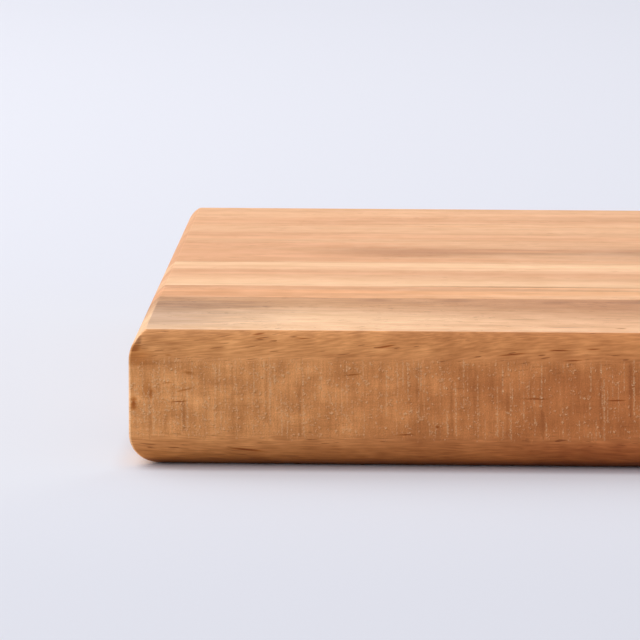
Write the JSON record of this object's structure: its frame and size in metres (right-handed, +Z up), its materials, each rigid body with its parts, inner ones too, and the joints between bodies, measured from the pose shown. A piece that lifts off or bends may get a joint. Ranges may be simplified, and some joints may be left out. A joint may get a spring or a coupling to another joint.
{
  "type": "serving board",
  "caption": "Thick rectangular serving board, edge-glued from full-length hardwood staves, with every edge rounded over above and below and both faces flat.",
  "frame": {"origin": "middle of the underside, on the surface that the board lies on", "axes": "+X with the grain, along the length; -Y towards the front edge that the picture shows; +Z up, out of the serving face"},
  "size_m": [0.3, 0.2, 0.03],
  "materials": {
    "front_stave_wood": "satin",
    "stave_2_wood": "satin",
    "stave_3_wood": "satin",
    "stave_4_wood": "satin",
    "stave_5_wood": "satin",
    "back_stave_wood": "satin",
    "wood_glue": "satin"
  },
  "bodies": {
    "root": {"stave_1_front": "front_stave_wood", "stave_2": "stave_2_wood", "stave_3": "stave_3_wood", "stave_4": "stave_4_wood", "stave_5": "stave_5_wood", "stave_6_back": "back_stave_wood", "glue_line_1": "wood_glue", "glue_line_2": "wood_glue", "glue_line_3": "wood_glue", "glue_line_4": "wood_glue", "glue_line_5": "wood_glue"}
  },
  "joints": []
}
